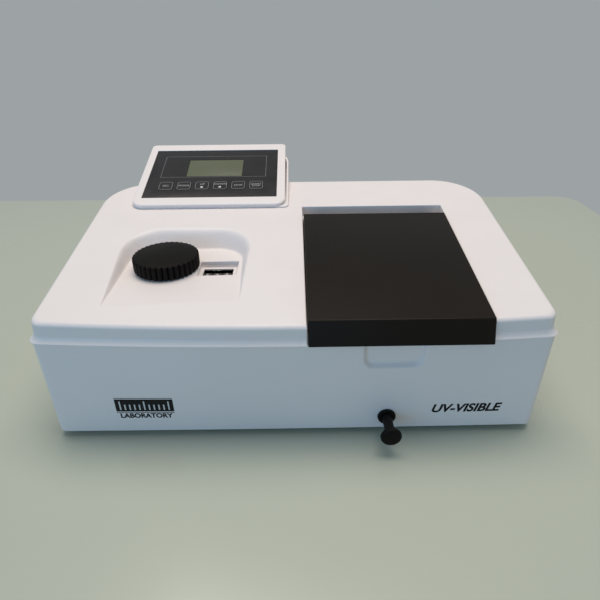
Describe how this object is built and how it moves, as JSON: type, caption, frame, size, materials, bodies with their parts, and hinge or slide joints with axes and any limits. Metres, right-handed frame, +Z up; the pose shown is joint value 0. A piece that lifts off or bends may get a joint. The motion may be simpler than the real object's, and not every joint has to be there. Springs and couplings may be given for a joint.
{
  "type": "spectrophotometer",
  "caption": "Bench UV-visible spectrophotometer: white sloping housing, tilted keypad display, sunk wavelength knob, hinged black sample lid and a front pull rod for the cell carriage.",
  "frame": {"origin": "middle of the footprint's bounding box, on the bench surface under the feet", "axes": "+X along the front to the viewer's right, +Y from the front to the back, +Z up"},
  "size_m": [0.42, 0.3357, 0.1827],
  "materials": {
    "cover_white": "fine-textured moulded housing, warm white",
    "lid_black": "smooth satin black moulding",
    "black_plastic": "satin black",
    "black_rubber": "dull black rubber",
    "seal_foam": "closed-cell black foam",
    "keypad_film": "printed dark grey polyester film",
    "lcd_glass": "olive reflective liquid-crystal display",
    "circuit_board": "green circuit board",
    "aluminium": "machined aluminium",
    "black_anodised": "black anodised aluminium",
    "steel": "ground steel",
    "brass": "machined brass",
    "lamp_glass": "clear lamp glass",
    "mirror": "front-silvered optic",
    "zinc_case": "zinc-plated sheet case"
  },
  "bodies": {
    "housing": {"base_housing": "cover_white", "top_cover": "cover_white", "display_bezel": "cover_white", "display_shell": "cover_white", "counter_frame": "cover_white", "rod_escutcheon": "black_plastic", "power_inlet": "black_plastic", "switch_body": "black_plastic", "fan_frame": "black_plastic", "foot_front_left": "black_rubber", "foot_front_right": "black_rubber", "foot_rear_left": "black_rubber", "foot_rear_right": "black_rubber", "keypad_overlay": "keypad_film", "lcd_window": "lcd_glass", "display_board": "circuit_board", "main_board": "circuit_board", "optical_bench": "aluminium", "drive_frame": "aluminium", "sample_compartment": "black_anodised", "monochromator_box": "black_anodised", "monochromator_cover": "black_anodised", "detector_housing": "black_anodised", "lid_hinge_pin": "steel", "carriage_guide_rod": "steel", "entrance_slit": "steel", "exit_slit": "steel", "shaft_bushing": "brass", "tungsten_lamp": "lamp_glass", "deuterium_lamp": "lamp_glass", "collimating_mirror": "mirror", "focusing_mirror": "mirror", "lcd_module": "zinc_case", "power_supply": "zinc_case"},
    "lid": {"sample_lid": "lid_black", "lid_seal": "seal_foam"},
    "carriage": {"cell_carriage": "black_anodised", "pull_rod": "black_plastic", "pull_rod_knob": "black_plastic"},
    "knob": {"wavelength_knob": "black_plastic", "knob_shaft": "steel", "counter_drive_gear": "brass", "screw_drive_gear": "brass"},
    "spindle": {"counter_spindle": "brass"},
    "hundreds_drum": {"drum_hundreds": "black_plastic"},
    "tens_drum": {"drum_tens": "black_plastic"},
    "units_drum": {"drum_units": "black_plastic"},
    "screw": {"lead_screw": "steel"},
    "nut": {"screw_nut": "brass"},
    "grating_arm": {"sine_arm": "aluminium", "grating": "mirror"},
    "rocker": {"power_rocker": "black_plastic"},
    "mirror_flag": {"source_mirror": "mirror"},
    "fan": {"fan_rotor": "black_plastic"},
    "key_1_cap": {"key_1": "keypad_film"},
    "key_2_cap": {"key_2": "keypad_film"},
    "key_3_cap": {"key_3": "keypad_film"},
    "key_4_cap": {"key_4": "keypad_film"},
    "key_5_cap": {"key_5": "keypad_film"},
    "key_6_cap": {"key_6": "keypad_film"}
  },
  "joints": [
    {"name": "lid_hinge", "type": "hinge", "parent": "housing", "child": "lid", "pos_m": [0, 0.0316, 0.1338], "axis": [-1, 0, 0], "range_deg": [0, 95]},
    {"name": "carriage_slide", "type": "slide", "parent": "housing", "child": "carriage", "axis": [0, -1, 0], "range_m": [0, 0.054]},
    {"name": "knob_turn", "type": "hinge", "parent": "housing", "child": "knob", "pos_m": [-0.1157, -0.0511, 0.1223], "axis": [0, 0, 1], "range_deg": [-2563.2, 3412.8]},
    {"name": "counter_turn", "type": "hinge", "parent": "housing", "child": "spindle", "pos_m": [-0.1157, -0.0511, 0.104], "axis": [1, 0, 0], "range_deg": [-3413.8, 2564.2]},
    {"name": "hundreds_drum_turn", "type": "hinge", "parent": "housing", "child": "hundreds_drum", "pos_m": [-0.084, -0.0511, 0.104], "axis": [1, 0, 0], "range_deg": [-171.64, 129.16]},
    {"name": "tens_drum_turn", "type": "hinge", "parent": "housing", "child": "tens_drum", "pos_m": [-0.075, -0.0511, 0.104], "axis": [1, 0, 0], "range_deg": [-1707.4, 1282.6]},
    {"name": "units_drum_turn", "type": "hinge", "parent": "housing", "child": "units_drum", "pos_m": [-0.066, -0.0511, 0.104], "axis": [1, 0, 0], "range_deg": [-17065, 12817]},
    {"name": "screw_turn", "type": "hinge", "parent": "housing", "child": "screw", "pos_m": [-0.1157, -0.0511, 0.088], "axis": [0, 1, 0], "range_deg": [-2564.2, 3413.8]},
    {"name": "nut_slide", "type": "slide", "parent": "housing", "child": "nut", "axis": [0, 1, 0], "range_m": [-0.01088, 0.01442]},
    {"name": "grating_turn", "type": "hinge", "parent": "housing", "child": "grating_arm", "pos_m": [-0.0657, -0.0024, 0.078], "axis": [0, 0, 1], "range_deg": [-16.6, 12.6]},
    {"name": "power_switch_rock", "type": "hinge", "parent": "housing", "child": "rocker", "pos_m": [0.092, 0.1136, 0.036], "axis": [0, 0, -1], "range_deg": [0, 14]},
    {"name": "source_mirror_turn", "type": "hinge", "parent": "housing", "child": "mirror_flag", "pos_m": [-0.16, 0.0116, 0.045], "axis": [0, 0, 1], "range_deg": [0, 90]},
    {"name": "fan_spin", "type": "hinge", "parent": "housing", "child": "fan", "pos_m": [-0.11, 0.1058, 0.05], "axis": [0, 1, 0], "continuous": true},
    {"name": "key_1_press", "type": "slide", "parent": "housing", "child": "key_1_cap", "axis": [0, 0.2622, -0.965], "range_m": [0, 0.0004], "stiffness_N_per_m": 1500, "springref_m": -0.0002},
    {"name": "key_2_press", "type": "slide", "parent": "housing", "child": "key_2_cap", "axis": [0, 0.2622, -0.965], "range_m": [0, 0.0004], "stiffness_N_per_m": 1500, "springref_m": -0.0002},
    {"name": "key_3_press", "type": "slide", "parent": "housing", "child": "key_3_cap", "axis": [0, 0.2622, -0.965], "range_m": [0, 0.0004], "stiffness_N_per_m": 1500, "springref_m": -0.0002},
    {"name": "key_4_press", "type": "slide", "parent": "housing", "child": "key_4_cap", "axis": [0, 0.2622, -0.965], "range_m": [0, 0.0004], "stiffness_N_per_m": 1500, "springref_m": -0.0002},
    {"name": "key_5_press", "type": "slide", "parent": "housing", "child": "key_5_cap", "axis": [0, 0.2622, -0.965], "range_m": [0, 0.0004], "stiffness_N_per_m": 1500, "springref_m": -0.0002},
    {"name": "key_6_press", "type": "slide", "parent": "housing", "child": "key_6_cap", "axis": [0, 0.2622, -0.965], "range_m": [0, 0.0004], "stiffness_N_per_m": 1500, "springref_m": -0.0002}
  ],
  "couplings": [
    {"joint": "counter_turn", "follows": "knob_turn", "ratio": -1},
    {"joint": "units_drum_turn", "follows": "knob_turn", "ratio": -5},
    {"joint": "tens_drum_turn", "follows": "knob_turn", "ratio": -0.5},
    {"joint": "hundreds_drum_turn", "follows": "knob_turn", "ratio": -0.05},
    {"joint": "screw_turn", "follows": "knob_turn", "ratio": 1},
    {"joint": "nut_slide", "follows": "knob_turn", "m_per_rad": 0.00023873},
    {"joint": "grating_turn", "follows": "knob_turn", "ratio": -0.0047747}
  ]
}
